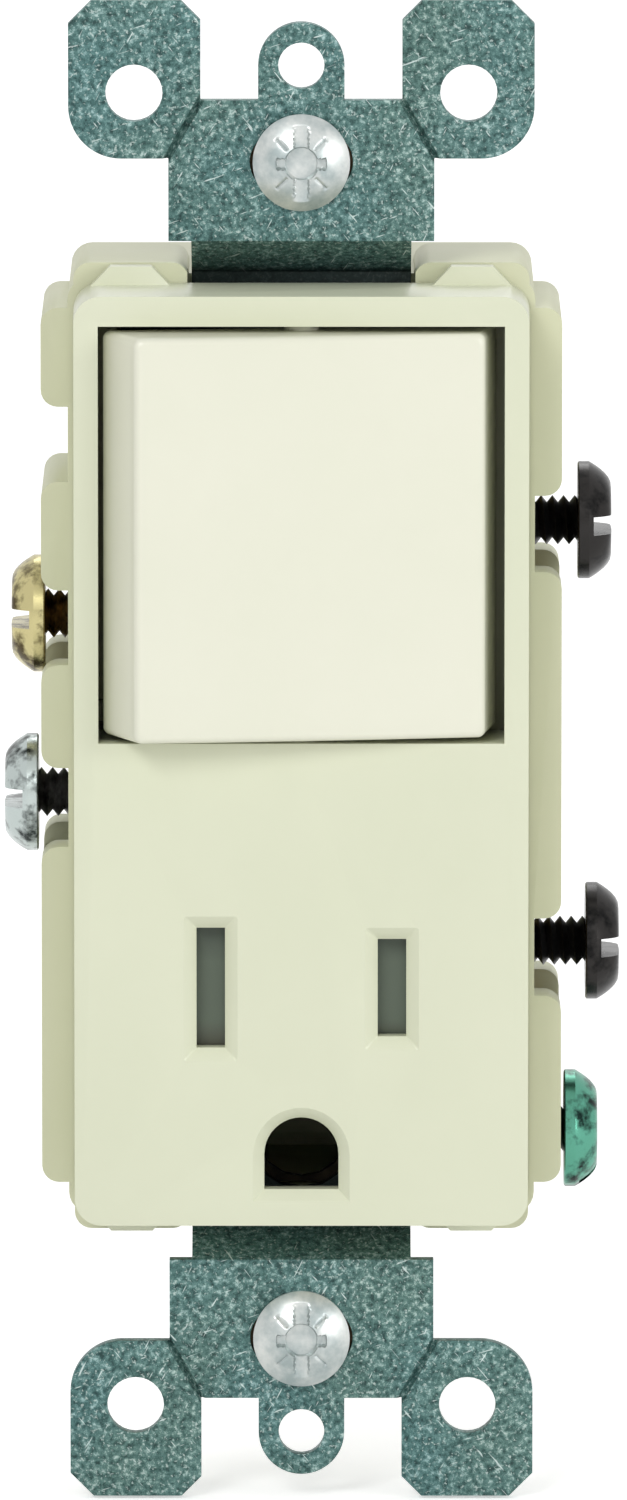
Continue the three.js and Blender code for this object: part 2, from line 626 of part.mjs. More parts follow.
// Two leaves on either side of a blade, joined behind it, with a foot that meets the plate.
function bladeContact(side, height) {
  const [inner, outer] = [bladeThickness / 2 + fit, bladeThickness / 2 + fit + leafThickness];
  const bendY = contactBackY - leafThickness;
  const section = polygon([
    [slotX - outer, contactFrontY], [slotX - inner, contactFrontY], [slotX - inner, bendY],
    [slotX + inner, bendY], [slotX + inner, contactFrontY], [slotX + outer, contactFrontY],
    [slotX + outer, bendY], [flangeX - leafThickness, bendY], [flangeX - leafThickness, flangeFrontY],
    [flangeX, flangeFrontY], [flangeX, contactBackY], [slotX - outer, contactBackY],
  ]);
  return uprightPrism(section, slotZ - height / 2, slotZ + height / 2).scale([side, 1, 1]);
}

// A cage for the round pin: two leaves, a flange against the strap, and a leg for the screw.
const groundFlangeY = [strapMidBackY + fit, strapMidBackY + fit + 0.8];
const groundContactZ = [-cavityZ + fit, groundZ + 3.3];

function groundContact() {
  const inner = groundPinRadius + fit;
  const leafY = [groundFlangeY[0], 16.0];
  const leaves = [1, -1].map((side) =>
    block([side * inner, side * (inner + leafThickness)], leafY, [groundZ - 2.6, groundZ + 2.6]));
  const flange = block([-10, plateInnerX + 0.2], groundFlangeY, groundContactZ);
  const leg = block([plateInnerX, plateOuterX], [groundFlangeY[0], terminalPlateBackY],
    [groundContactZ[0], groundTerminal.z + terminalPlateLength / 2]);
  return cut(join(flange, leg), rod(groundFlangeRadius, "y", [0, 0, groundZ], 0, 20),
    rod(screwThreadRadius + fit, "x", [0, terminalDepth, groundTerminal.z], 10, 20, 12),
    ...groundRivetX.map((x) => rod(rivetRadius + rivetFit, "y", [x, 0, groundZ], 0, 10, 10)),
  ).add(join(...leaves));
}

// A rivet that holds the ground contact to the strap.
function groundRivet(x) {
  const [front, back] = [strapMidFrontY - rivetFit, groundFlangeY[1] + rivetFit];
  return turned([[0, front - 0.5], [1.1, front - 0.5], [1.4, front], [rivetRadius, front],
    [rivetRadius, back], [1.4, back], [1.1, back + 0.5], [0, back + 0.5]], "y", [x, 0, groundZ], 10);
}

const brass = 0xc9a457;
add("switched_terminal", switchedTerminal(), brass, 0.3, 0.9);
add("fixed_contact_button", contactButton(...fixedStripY, false).translate([fixedButtonX, 0, switchZ]),
  0xcfcfcc, 0.25, 0.95);
add("feed_plate", feedPlate(), brass, 0.3, 0.9);
add("hot_contact", bladeContact(1, hotSlotHeight), brass, 0.3, 0.9);
add("neutral_terminal", terminalPlate(-1,
  [slotZ - neutralSlotHeight / 2, around(silverTerminal)[1]], [silverTerminal]), 0xb9b9b2, 0.35, 0.9);
add("neutral_contact", bladeContact(-1, neutralSlotHeight), brass, 0.3, 0.9);
add("ground_contact", groundContact(), brass, 0.3, 0.9);
["ground_rivet_left", "ground_rivet_right"].forEach((name, i) =>
  add(name, groundRivet(groundRivetX[i]), 0xb0a080, 0.4, 0.8));

// ---- Slot shutter, its carrier and its spring -----------------------------------------------

const shutterFrontY = coverInnerY + fit;
const shutterBackY = shutterFrontY + shutterThickness;
const carrierY = [shutterBackY + fit, shutterBackY + fit + 1.1];
const shutterZ = [-22.8, -10.6];
const shutterX = [-10.4, 9.4];
const shutterSpringZ = -21.5;
const shutterSpringRadius = 0.48;
const springNotchX = 1.0;
const stopX = shutterX[1] + shutterTravel + 0.4;
const slotHeights = [[-1, neutralSlotHeight], [1, hotSlotHeight]];

function windowsAt(shift, margin, y) {
  return slotHeights.map(([side, height]) => block(
    [side * slotX + shift - slotWidth / 2 - margin, side * slotX + shift + slotWidth / 2 + margin], y,
    [slotZ - height / 2 - margin, slotZ + height / 2 + margin]));
}

function shutterSlider() {
  const y = [shutterFrontY, shutterBackY];
  const notch = block([springNotchX, shutterX[1] + 1], [y[0] - 1, y[1] + 1],
    [shutterSpringZ - 0.95, shutterSpringZ + 0.95]);
  return cut(block(shutterX, y, shutterZ), notch, ...windowsAt(-shutterTravel, 0.2, [y[0] - 1, y[1] + 1]));
}

function shutterCarrier() {
  const [halfX, z] = [12.6, [-23.4, -10.0]];
  const legY = [carrierY[1] - 0.5, strapMidFrontY - fit];
  const legs = [-1, 1].flatMap((side) => [[z[0], z[0] + 1.4], [z[1] - 1.4, z[1]]].map(
    (legZ) => block([side * (slotWindow.x + 0.5), side * halfX], legY, legZ)));
  const stop = block([stopX, stopX + 0.9], [shutterFrontY, carrierY[0] + 0.5],
    [shutterSpringZ - 1.2, shutterSpringZ + 1.2]);
  return cut(join(block([-halfX, stopX + 0.9], carrierY, z), stop, ...legs),
    ...windowsAt(0, 0.4, [carrierY[0] - 1, carrierY[1] + 1]));
}

function shutterSpring() {
  const coil = coilSpring(shutterSpringRadius, 0.25, 8, springNotchX + rivetFit, stopX - rivetFit);
  return coil.rotate([0, 0, -90]).translate([0, (shutterFrontY + shutterBackY) / 2, shutterSpringZ]);
}

add("shutter_slider", shutterSlider(), 0xb9bfb0, 0.4);
add("shutter_carrier", shutterCarrier(), 0xd8d8c8, 0.5);
add("shutter_spring", shutterSpring(), 0xb9bbb8, 0.3, 0.9);

// ---- Rear body ------------------------------------------------------------------------------

function lobe([x0, x1], [z0, z1], depth) {
  const shape = roundedRect(x1 - x0, z1 - z0, lobeRadius, [(x0 + x1) / 2, (z0 + z1) / 2]);
  return plate(shape, bodyFrontY, bodyFrontY + depth, 3);
}

function sideLobes() {
  const [inner, outer] = [cavityX - 0.5, lobeWidth / 2];
  const rootedIn = bodyWidth / 2 - inner > lobeRadius ? inner : bodyWidth / 2 - lobeRadius - 0.3;
  return [
    ...leftLobes.map(([high, low]) => lobe([-outer, -rootedIn], [low, high], lobeDepth)),
    ...rightLobes.map(([high, low]) => lobe([rootedIn, outer], [low, high], lobeDepth)),
  ];
}

function endLobes() {
  const rootZ = bodyHeight / 2 - lobeRadius - 0.3;
  return [-1, 1].flatMap((side) => [-1, 1].map((end) => {
    const x = [side * endLobeInnerX, side * endLobeOuterX].sort((a, b) => a - b);
    const z = [end * rootZ, end * endLobeZ].sort((a, b) => a - b);
    return lobe(x, z, endLobeDepth);
  }));
}

// Ledges beside the strap that keep the terminal plates from coming forward.
function plateLedges() {
  const x = [strapMiddleWidth / 2 + fit, cavityX + 0.5];
  const y = [terminalPlateFrontY - fit - ledgeThickness, terminalPlateFrontY - fit];
  return [[-1, around(brassTerminal)[0]], [1, groundContactZ[1] + fit]].map(([side, low]) =>
    block(x.map((value) => side * value).sort((a, b) => a - b), y, [low, cavityZ + 0.5]));
}

// Pillars that the contacts stand on, and the wall between switch and receptacle.
function innerSupports() {
  const floor = bodyFloorY + 0.5;
  const bladeX = slotX - bladeThickness / 2;
  return [
    block([-plateInnerX + 1, fixedButtonX - buttonRadius - 0.6], [fixedStripY[1] + fit, floor],
      [fixedStripZ[0] + 1, fixedStripZ[1] - 1]),
    block([-cradleX + 0.5, flangeX - 4], [cradleBackY + fit, floor], [seesawZ[0] - 1, seesawZ[1] + 1]),
    block([bladeX, flangeX - 1], [contactBackY + fit, floor], [slotZ - 2.5, slotZ + 2.5]),
    block([-flangeX + 1, -bladeX], [contactBackY + fit, floor], [slotZ - 2.5, slotZ + 2.5]),
    block([-4, 4], [16.0 + fit, floor], [groundZ - 2, groundZ + 2]),
    block([-cavityX - 0.5, plateInnerX - fit], [strapMidBackY + fit, floor],
      [around(silverTerminal)[1] + fit + 0.3, around(brassTerminal)[0] - fit - 0.1]),
    rod(centreScrewRadius + 1.8, "y", [0, 0, centreScrewZ], strapMidBackY + fit, floor),
    ...plateLedges(),
  ];
}

const centreHeadRadius = 2.6;
const centreHeadHeight = 1.8;

function terminalRecess(terminal) {
  const reach = screwHeadRadius + fit;
  const low = terminal.z - reach < -bodyHeight / 2 + 1 ? -bodyHeight : terminal.z - reach;
  const x = [cavityX - 1, lobeWidth].map((value) => terminal.side * value).sort((a, b) => a - b);
  return block(x, [recessFrontY, recessBackY], [low, terminal.z + reach]);
}

function rearBody() {
  const outer = plate(roundedRect(bodyWidth, bodyHeight, 1.5), bodyFrontY, bodyBackY, 3);
  const inside = block([-cavityX, cavityX], [bodyFrontY - 1, bodyFloorY], [-cavityZ, cavityZ]);
  const neckHalf = neckWidth / 2 + fit;
  const neckSlots = [[cavityZ - 1, endLobeZ + 1], [-endLobeZ - 1, -cavityZ + 1]].map((z) =>
    block([-neckHalf, neckHalf], [bodyFrontY - 1, strapMidBackY + fit], z));
  const shell = cut(join(outer, ...sideLobes(), ...endLobes()), inside, ...neckSlots,
    ...terminals.map(terminalRecess));
  return cut(join(shell, ...innerSupports()),
    rod(centreScrewRadius + fit, "y", [0, 0, centreScrewZ], 0, bodyBackY + 1),
    rod(centreHeadRadius + fit, "y", [0, 0, centreScrewZ],
      bodyBackY - centreHeadHeight - 2 * fit, bodyBackY + 1));
}

add("rear_body", rearBody(), 0xd6d6b6, 0.45);

// ---- Screws and washers ---------------------------------------------------------------------

// The flank of a thread: ridges of the given pitch between two distances, tip first.
function threadProfile(radius, pitch, tip, top) {
  const depth = 0.6 * pitch;
  const count = Math.floor((top - tip) / pitch);
  const ridges = Array.from({ length: count }, (_, i) => [
    [radius - depth, tip + i * pitch], [radius, tip + (i + 0.5) * pitch]]).flat();
  return [[0, tip], ...ridges, [radius - depth, top]];
}

// A threaded shank from a tip to a top, with flat facets fine enough to show its ridges.
function threadedShank(axis, at, tip, top) {
  return turned([...threadProfile(screwThreadRadius, screwPitch, tip, top), [0, top]], axis, at, 8);
}

// A binding-head screw along X, its head's underside at the given distance from the centre.
function terminalScrew({ side, z, backedOut }) {
  const head = turned([[0, -0.1], [screwThreadRadius - 0.5, -0.1], [screwThreadRadius - 0.5, 0],
    [screwHeadRadius, 0], [screwHeadRadius, 0.9], [screwHeadRadius - 0.9, screwHeadHeight - 0.3],
    [screwHeadRadius - 1.6, screwHeadHeight], [0, screwHeadHeight]], "x", [0, 0, 0], 18);
  const slot = block([screwHeadHeight - 1.3, screwHeadHeight + 1], [-5, 5], [-0.65, 0.65]);
  return cut(join(head, threadedShank("x", [0, 0, 0], -screwShank, 0.2)), slot)
    .translate([plateOuterX + backedOut, terminalDepth, z]).scale([side, 1, 1]);
}

// A strap screw along Y: oval head in front, a combination recess, and the thread behind.
function strapScrew(z) {
  const under = -strapThickness - rivetFit;
  const front = under - strapScrewHeadHeight;
  const rim = under - 0.5;
  const dome = [0.5, 0.75, 0.92, 1].map((share, i) =>
    [strapScrewHeadRadius * share, front + (rim - front) * (i / 3)]);
  const head = turned([[0, front], ...dome, [strapScrewHeadRadius, under], [0, under]], "y", [0, 0, z], 18);
  const shank = threadedShank("y", [0, 0, 0], -strapScrewLength, -under + 0.2)
    .mirror([0, 1, 0]).translate([0, 0, z]);
  const recessY = [front - 1, front + 0.9];
  return cut(join(head, shank),
    block([-0.5, 0.5], recessY, [z - 4, z + 4]), block([-1.75, 1.75], recessY, [z - 0.4, z + 0.4]));
}

function ring(inner, outer, y0, y1, z, segments = 16) {
  return turned([[inner, y0], [outer, y0], [outer, y1], [inner, y1], [inner, y0]], "y", [0, 0, z], segments);
}

function centreScrew() {
  const headBack = bodyBackY - fit;
  const profile = [[0, coverInnerY + 0.6], [centreScrewRadius, coverInnerY + 1],
    [centreScrewRadius, headBack - centreHeadHeight], [centreHeadRadius, headBack - centreHeadHeight],
    [centreHeadRadius, headBack - 0.5], [centreHeadRadius - 0.7, headBack], [0, headBack]];
  return cut(turned(profile, "y", [0, 0, centreScrewZ], 14),
    block([-0.4, 0.4], [headBack - 1, headBack + 1], [centreScrewZ - 4, centreScrewZ + 4]));
}

for (const terminal of terminals) add(terminal.name, terminalScrew(terminal), terminal.color, 0.35, 0.8);
for (const [place, sign] of [["upper", 1], ["lower", -1]]) {
  add(`mounting_screw_${place}`, strapScrew(sign * mountSlotZ), 0xc4c6c2, 0.3, 0.9);
  const washer = ring(screwThreadRadius + rivetFit, washerRadius, fit, fit + washerThickness,
    sign * mountSlotZ);
  add(`retaining_washer_${place}`, washer, 0x8a6a4a, 0.8);
}
add("centre_screw", centreScrew(), 0xb9bbb8, 0.35, 0.9);

export default device;
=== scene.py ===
import json
import math

import bmesh
import bpy
import numpy as np
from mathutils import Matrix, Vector


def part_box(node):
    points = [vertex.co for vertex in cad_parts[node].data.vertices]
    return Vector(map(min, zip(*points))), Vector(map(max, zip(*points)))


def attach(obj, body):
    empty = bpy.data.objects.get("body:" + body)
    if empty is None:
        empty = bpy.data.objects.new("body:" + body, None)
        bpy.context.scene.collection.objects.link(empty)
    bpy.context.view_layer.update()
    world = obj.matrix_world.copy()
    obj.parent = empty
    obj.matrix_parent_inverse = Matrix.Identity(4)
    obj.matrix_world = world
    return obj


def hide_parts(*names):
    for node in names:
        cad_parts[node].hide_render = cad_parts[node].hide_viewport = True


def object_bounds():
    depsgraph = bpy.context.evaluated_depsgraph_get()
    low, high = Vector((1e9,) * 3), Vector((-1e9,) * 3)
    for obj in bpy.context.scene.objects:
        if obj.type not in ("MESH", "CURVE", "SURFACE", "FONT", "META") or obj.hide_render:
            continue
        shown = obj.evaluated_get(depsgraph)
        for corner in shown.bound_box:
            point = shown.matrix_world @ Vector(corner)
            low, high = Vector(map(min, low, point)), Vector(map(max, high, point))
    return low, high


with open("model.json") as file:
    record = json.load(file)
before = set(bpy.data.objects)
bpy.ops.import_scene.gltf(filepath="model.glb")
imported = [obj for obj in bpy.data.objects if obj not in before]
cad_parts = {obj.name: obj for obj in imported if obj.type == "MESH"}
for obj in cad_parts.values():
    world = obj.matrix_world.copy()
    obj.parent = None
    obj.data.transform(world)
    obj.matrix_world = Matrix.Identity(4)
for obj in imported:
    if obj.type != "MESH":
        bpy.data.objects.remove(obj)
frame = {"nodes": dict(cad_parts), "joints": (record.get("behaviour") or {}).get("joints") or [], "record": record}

cad_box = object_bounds()
mm = 0.001


# ---- The place where the device stands --------------------------------------------------
# The device stands on its lower ears on a plain white sheet, in a soft light tent with a
# broad front lamp, and is seen a little from above through a long lens.
def emitting_backdrop(name, colour, roughness, lift):
    """A matt sheet that also glows by the amount `lift` where it is seen or mirrored."""
    material = bpy.data.materials.new(name)
    material.use_nodes = True
    nodes, links = material.node_tree.nodes, material.node_tree.links
    sheet = nodes["Principled BSDF"]
    sheet.inputs["Base Color"].default_value = (*colour, 1)
    sheet.inputs["Roughness"].default_value = roughness
    sheet.inputs["Emission Color"].default_value = (1, 1, 1, 1)
    path = nodes.new("ShaderNodeLightPath")
    seen = nodes.new("ShaderNodeMath")
    seen.operation = "MAXIMUM"
    links.new(path.outputs["Is Camera Ray"], seen.inputs[0])
    links.new(path.outputs["Is Glossy Ray"], seen.inputs[1])
    scaled = nodes.new("ShaderNodeMath")
    scaled.operation = "MULTIPLY"
    scaled.inputs[1].default_value = lift
    links.new(seen.outputs[0], scaled.inputs[0])
    links.new(scaled.outputs[0], sheet.inputs["Emission Strength"])
    return material


def stage_sheet(name, corners, material):
    mesh = bpy.data.meshes.new(name)
    mesh.from_pydata(corners, [], [(0, 1, 2, 3)])
    mesh.materials.append(material)
    sheet = bpy.data.objects.new(name, mesh)
    bpy.context.scene.collection.objects.link(sheet)


floor_gap = 0.2 * mm
floor_z = cad_box[0][2] - floor_gap
reach = 6.0
floor_corners = [(-reach, -reach, floor_z), (reach, -reach, floor_z),
                 (reach, reach, floor_z), (-reach, reach, floor_z)]
stage_sheet("floor", floor_corners, emitting_backdrop("floor_white", (0.9, 0.9, 0.9), 0.8, 0.45))

world = bpy.data.worlds.new("tent")
bpy.context.scene.world = world
world.use_nodes = True
tent = world.node_tree
sky = tent.nodes["Background"]
sky.inputs["Color"].default_value = (1, 1, 1, 1)
lamp_path = tent.nodes.new("ShaderNodeLightPath")
seen_or_mirrored = tent.nodes.new("ShaderNodeMath")
seen_or_mirrored.operation = "MAXIMUM"
tent.links.new(lamp_path.outputs["Is Camera Ray"], seen_or_mirrored.inputs[0])
tent.links.new(lamp_path.outputs["Is Glossy Ray"], seen_or_mirrored.inputs[1])
tent_level = tent.nodes.new("ShaderNodeMapRange")
tent_level.inputs["To Min"].default_value = 0.5
tent_level.inputs["To Max"].default_value = 1.0
tent.links.new(seen_or_mirrored.outputs[0], tent_level.inputs["Value"])
tent.links.new(tent_level.outputs["Result"], sky.inputs["Strength"])


def soft_lamp(name, place, size, watts, target=(0, 0, 0)):
    lamp = bpy.data.lights.new(name, "AREA")
    lamp.size = size
    lamp.energy = watts
    lamp_object = bpy.data.objects.new(name, lamp)
    lamp_object.location = place
    lamp_object.rotation_euler = (Vector(target) - Vector(place)).to_track_quat("-Z", "Y").to_euler()
    bpy.context.scene.collection.objects.link(lamp_object)


soft_lamp("front_left_lamp", (-0.45, -1.2, 0.8), 0.5, 7.2)
soft_lamp("right_lamp", (1.0, -0.9, 0.3), 0.5, 4.7)
soft_lamp("back_lamp", (0.2, 1.0, 0.9), 0.6, 2.4)

# The long lens: as much of the object as the frame needs, seen from 8 degrees above.
view_elevation = math.radians(8)
view_distance = 1.3
view_height = 105.4 * mm
aim = Vector((0.85 * mm, 0, 0.0))
camera_data = bpy.data.cameras.new("long_lens")
camera_data.sensor_width = 36
camera_data.lens = camera_data.sensor_width * view_distance / view_height
camera_data.clip_start = 0.05
camera_data.clip_end = 50
camera = bpy.data.objects.new("camera", camera_data)
camera.location = aim + view_distance * Vector((0, -math.cos(view_elevation), math.sin(view_elevation)))
camera.rotation_euler = (math.pi / 2 - view_elevation, 0, 0)
bpy.context.scene.collection.objects.link(camera)
bpy.context.scene.camera = camera
bpy.context.scene.view_settings.view_transform = "Standard"


# ---- Mounting strap -----------------------------------------------------------------------
# One steel stamping carries the whole device: ears, wall-plate tabs, and a middle set back
# behind the cover. Hot-dip zinc leaves it mottled blue-green with fine bright crystals.
def new_material(name, colour, roughness, metallic=0.0):
    """A Principled material with its even values set on the shader, and its parts to build on."""
    material = bpy.data.materials.new(name)
    material.use_nodes = True
    shader = material.node_tree.nodes["Principled BSDF"]
    shader.inputs["Base Color"].default_value = (*colour, 1)
    shader.inputs["Roughness"].default_value = roughness
    shader.inputs["Metallic"].default_value = metallic
    return material, material.node_tree, shader


def pattern(tree, kind, scale, stretch=(1, 1, 1), turn=(0, 0, 0), **settings):
    """A noise or cell texture on Object coordinates, `scale` features to the metre."""
    place = tree.nodes.new("ShaderNodeTexCoord")
    turned = tree.nodes.new("ShaderNodeMapping")
    turned.inputs["Rotation"].default_value = turn
    mapping = tree.nodes.new("ShaderNodeMapping")
    mapping.inputs["Scale"].default_value = stretch
    tree.links.new(place.outputs["Object"], turned.inputs["Vector"])
    tree.links.new(turned.outputs["Vector"], mapping.inputs["Vector"])
    texture = tree.nodes.new(kind)
    texture.inputs["Scale"].default_value = scale
    for name, value in settings.items():
        texture.inputs[name].default_value = value
    tree.links.new(mapping.outputs["Vector"], texture.inputs["Vector"])
    return texture.outputs[0]


def ramp(tree, value, stops):
    """A colour ramp through (position, colour) stops."""
    node = tree.nodes.new("ShaderNodeValToRGB")
    while len(node.color_ramp.elements) < len(stops):
        node.color_ramp.elements.new(0.5)
    for element, (position, colour) in zip(node.color_ramp.elements, stops):
        element.position = position
        element.color = (*colour, 1)
    tree.links.new(value, node.inputs[0])
    return node.outputs["Color"]


def mix_colour(tree, factor, first, second, blend="MIX"):
    """Two colours mixed by a factor; each may be a socket or a fixed value."""
    node = tree.nodes.new("ShaderNodeMix")
    node.data_type = "RGBA"
    node.blend_type = blend
    for socket, value in ((node.inputs[0], factor), (node.inputs[6], first), (node.inputs[7], second)):
        if isinstance(value, bpy.types.NodeSocket):
            tree.links.new(value, socket)
        else:
            socket.default_value = (*value, 1) if isinstance(value, tuple) else value
    return node.outputs[2]


def spread(tree, value, low, high, from_low=0.0, from_high=1.0):
    """A value carried from one span to another."""
    node = tree.nodes.new("ShaderNodeMapRange")
    node.inputs["From Min"].default_value = from_low
    node.inputs["From Max"].default_value = from_high
    node.inputs["To Min"].default_value = low
    node.inputs["To Max"].default_value = high
    tree.links.new(value, node.inputs["Value"])
    return node.outputs["Result"]


def from_plane(tree, axis, centre=0.0):
    """How far each point lies from the plane across X, Y or Z (0, 1, 2) at `centre`, in metres."""
    place = tree.nodes.new("ShaderNodeTexCoord")
    split = tree.nodes.new("ShaderNodeSeparateXYZ")
    tree.links.new(place.outputs["Object"], split.inputs[0])
    value = split.outputs[axis]
    for operation, second in (("SUBTRACT", centre), ("ABSOLUTE", 0.0)):
        node = tree.nodes.new("ShaderNodeMath")
        node.operation = operation
        node.inputs[1].default_value = second
        tree.links.new(value, node.inputs[0])
        value = node.outputs[0]
    return value


def bump(tree, shader, height, depth, strength=1.0):
    """Gives the shader a bump of that depth in metres."""
    node = tree.nodes.new("ShaderNodeBump")
    node.inputs["Distance"].default_value = depth
    node.inputs["Strength"].default_value = strength
    tree.links.new(height, node.inputs["Height"])
    tree.links.new(node.outputs["Normal"], shader.inputs["Normal"])


def scratches(tree, turn):
    """Fine bright lines: noise drawn out long in one direction, of which only the peaks are kept."""
    lines = pattern(tree, "ShaderNodeTexNoise", 1.0, (5200, 400, 620), (0, turn, 0), Detail=1.0)
    return spread(tree, lines, 0.0, 0.8, 0.74, 0.79)


def zinc_plated():
    """Zinc plate: dark green-grey crystals with pale flecks, drifting bluer and greener, scratched,
    and painted shade, near black, where the strap goes in behind the cover."""
    material, tree, shader = new_material("zinc_plated_steel", (0.1, 0.2, 0.19), 0.45, 0.55)
    mottle = pattern(tree, "ShaderNodeTexNoise", 2300, Detail=5.0, Roughness=0.75)
    drift = pattern(tree, "ShaderNodeTexNoise", 90, Detail=2.0)
    fleck = pattern(tree, "ShaderNodeTexNoise", 3900, Detail=2.0, Roughness=0.65)
    base = ramp(tree, mottle, [(0.36, (0.020, 0.050, 0.046)), (0.47, (0.062, 0.134, 0.120)),
                               (0.56, (0.115, 0.215, 0.192)), (0.67, (0.42, 0.54, 0.50))])
    tinted = mix_colour(tree, spread(tree, drift, 0.0, 1.0, 0.38, 0.62), base,
                        mix_colour(tree, 1.0, base, (0.90, 1.0, 1.08), "MULTIPLY"))
    flecked = mix_colour(tree, spread(tree, fleck, 0.0, 0.75, 0.59, 0.69), tinted, (0.48, 0.58, 0.55))
    for turn in (0.7, -0.5, 1.9):
        flecked = mix_colour(tree, scratches(tree, turn), flecked, (0.62, 0.72, 0.70))
    # Painted shade: closer to the middle than 33.5 mm the strap is painted near black, as the shade behind the
    # cover.
    painted_shade_start, painted_shade_end = 33.5 * mm, 34.0 * mm
    painted_shade_behind_cover = spread(tree, from_plane(tree, 2), 0.93, 0.0, painted_shade_start, painted_shade_end)
    strap_painted_shade = mix_colour(tree, painted_shade_behind_cover, flecked, (0.004, 0.008, 0.007))
    tree.links.new(strap_painted_shade, shader.inputs["Base Color"])
    tree.links.new(spread(tree, mottle, 0.36, 0.60), shader.inputs["Roughness"])
    bump(tree, shader, mottle, 0.00002, 0.5)
    return material


def bevelled_copy(name, node, width, body, material, segments=3, angle=28):
    """A CAD node's own solid with its loose triangles merged and its edges rounded."""
    mesh = frame["nodes"][node].data.copy()
    mesh.name = name
    merged = bmesh.new()
    merged.from_mesh(mesh)
    bmesh.ops.remove_doubles(merged, verts=merged.verts, dist=2e-6)
    bmesh.ops.dissolve_limit(merged, angle_limit=math.radians(0.6), verts=merged.verts,
                             edges=merged.edges)
    for face in merged.faces:
        face.smooth = True
    merged.to_mesh(mesh)
    merged.free()
    mesh.materials.clear()
    mesh.materials.append(material)
    piece = bpy.data.objects.new(name, mesh)
    bpy.context.scene.collection.objects.link(piece)
    rounding = piece.modifiers.new("rounded_edges", "BEVEL")
    rounding.width = width
    rounding.segments = segments
    rounding.limit_method = "ANGLE"
    rounding.angle_limit = math.radians(angle)
    rounding.harden_normals = True
    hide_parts(node)
    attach(piece, body)
    return piece


zinc = zinc_plated()
bevelled_copy("strap", "mounting_strap", 0.12 * mm, "housing", zinc)


# ---- Front cover ----------------------------------------------------------------------------
# The cover is a light almond moulding with a satin gloss; its face frames the rocker and has
# the blade slots and ground hole with their sloped rims.
def moulded_plastic(name, colour, shade, roughness, coat=0.0):
    """Moulded plastic: faint flow clouds in the colour and a very fine grain in the gloss."""
    material, tree, shader = new_material(name, colour, roughness)
    clouds = pattern(tree, "ShaderNodeTexNoise", 90, Detail=3.0, Roughness=0.5)
    grain = pattern(tree, "ShaderNodeTexNoise", 5200, Detail=2.0)
    tree.links.new(ramp(tree, clouds, [(0.35, shade), (0.65, colour)]), shader.inputs["Base Color"])
    tree.links.new(spread(tree, grain, roughness - 0.05, roughness + 0.07), shader.inputs["Roughness"])
    shader.inputs["Coat Weight"].default_value = coat
    shader.inputs["Coat Roughness"].default_value = 0.12
    bump(tree, shader, grain, 0.000004, 0.35)
    return material


almond = moulded_plastic("almond_moulding", (0.715, 0.738, 0.562), (0.70, 0.726, 0.548), 0.34, 0.15)
bevelled_copy("cover", "front_cover", 0.22 * mm, "housing", almond)


# ---- Rear body ------------------------------------------------------------------------------
# The deep body behind the strap is the same plastic in a flatter finish, with square lobes
# that keep the terminal screws apart.
body_almond = moulded_plastic("body_moulding", (0.66, 0.67, 0.47), (0.63, 0.645, 0.445), 0.45)
bevelled_copy("back_body", "rear_body", 0.2 * mm, "housing", body_almond)


# ---- Rocker ---------------------------------------------------------------------------------
# The rocker is a thin-walled moulding in a glossier shade of the same almond: a gently crowned
# face with rounded edges, ends that slope out to the base, two pins and the post behind.
def skin(rings):
    """The closed skin through a stack of rings: each point joins its neighbours round its ring
    and the same point of the next ring, and each end closes on the middle of its ring."""
    count, around = rings.shape[:2]
    index = np.arange(count * around).reshape(count, around)
    after = np.roll(index, -1, axis=1)
    quads = np.stack([index[:-1], after[:-1], after[1:], index[1:]], axis=-1).reshape(-1, 4)
    start = np.stack([after[0], index[0], np.full(around, count * around)], axis=-1)
    end = np.stack([index[-1], after[-1], np.full(around, count * around + 1)], axis=-1)
    points = np.vstack([rings.reshape(-1, 3), rings[0].mean(0), rings[-1].mean(0)])
    return points, quads.tolist() + start.tolist() + end.tolist()


def surface_piece(name, parts, materials, node, body, sharp=35):
    """One object from closed skins, in metres; each skin takes the material of its own place."""
    shape = bmesh.new()
    for place, (points, faces) in enumerate(parts):
        part_mesh = bpy.data.meshes.new(name + "_part")
        part_mesh.from_pydata(points.tolist(), [], faces)
        part_mesh.polygons.foreach_set("material_index", [min(place, len(materials) - 1)] * len(faces))
        shape.from_mesh(part_mesh)
        bpy.data.meshes.remove(part_mesh)
    bmesh.ops.remove_doubles(shape, verts=shape.verts, dist=1e-7)
    bmesh.ops.recalc_face_normals(shape, faces=shape.faces)
    mesh = bpy.data.meshes.new(name)
    shape.to_mesh(mesh)
    shape.free()
    for material in materials:
        mesh.materials.append(material)
    mesh.shade_smooth()
    mesh.set_sharp_from_angle(angle=math.radians(sharp))
    piece = bpy.data.objects.new(name, mesh)
    bpy.context.scene.collection.objects.link(piece)
    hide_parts(node)
    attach(piece, body)
    return piece


def rounded_ring(half_x, half_z, corner, y, corner_steps=8, side_steps=10):
    """A rounded rectangle at one depth: quarter circles of the corner radius about the four
    corner centres, joined by straight sides that are divided evenly."""
    turn = np.linspace(0, np.pi / 2, corner_steps)
    corners = []
    for quarter, (sx, sz) in enumerate(((1, 1), (-1, 1), (-1, -1), (1, -1))):
        angle = turn + quarter * np.pi / 2
        corners.append(np.stack([sx * (half_x - corner) + corner * np.cos(angle),
                                 sz * (half_z - corner) + corner * np.sin(angle)], axis=-1))
    share = np.linspace(0, 1, side_steps + 2)[1:-1, None]
    walks = [np.vstack([here, here[-1] + share * (after[0] - here[-1])])
             for here, after in zip(corners, corners[1:] + corners[:1])]
    outline = np.vstack(walks)
    return np.stack([outline[:, 0], np.full(len(outline), y), outline[:, 1]], axis=-1)


